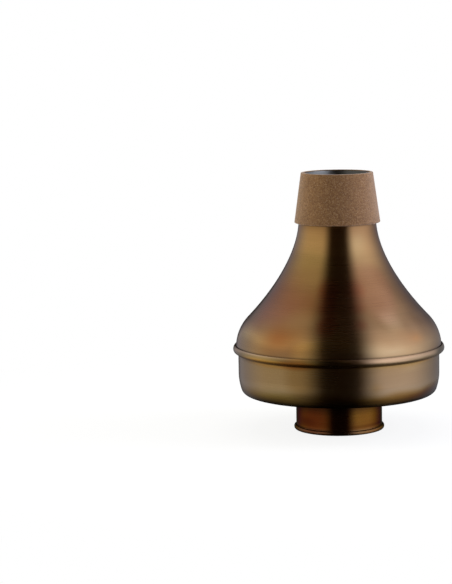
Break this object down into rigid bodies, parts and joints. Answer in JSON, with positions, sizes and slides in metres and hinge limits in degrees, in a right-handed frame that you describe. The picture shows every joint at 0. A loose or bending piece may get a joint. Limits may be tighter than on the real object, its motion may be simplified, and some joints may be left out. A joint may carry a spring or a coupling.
{
  "type": "trombone wah-wah mute",
  "caption": "Bell-shaped spun metal mute with a rolled seam, tapered cork collar, dished base and a sliding cup stem; wedges in a trombone bell to colour its sound.",
  "frame": {"origin": "middle of the flat on the stem's rolled lip, on the plane the mute stands on with its stem pushed home", "axes": "+Z along the mute's axis, from the stem's lip towards the neck and its cork; the mute is round, so X and Y are alike"},
  "size_m": [0.162, 0.162, 0.1975],
  "materials": {
    "upper_shell": "brushed, aged copper tone under clear lacquer",
    "base_shell": "brushed, aged copper and gold tone under clear lacquer",
    "neck_cork": "fine-grained composition cork, bare",
    "guide_sleeve": "plain drawn tube",
    "stem_cup": "brushed, red copper tone under clear lacquer",
    "stem_tube": "polished drawn tube",
    "solder": "dull soft solder"
  },
  "bodies": {
    "mute_body": {"upper_shell": "upper_shell", "base_shell": "base_shell", "neck_cork": "neck_cork", "guide_sleeve": "guide_sleeve", "sleeve_solder": "solder"},
    "stem": {"stem_cup": "stem_cup", "stem_tube": "stem_tube", "stem_solder": "solder"}
  },
  "joints": [
    {"name": "stem_slide", "type": "slide", "parent": "stem", "child": "mute_body", "axis": [0, 0, 1], "range_m": [0, 0.105]}
  ]
}
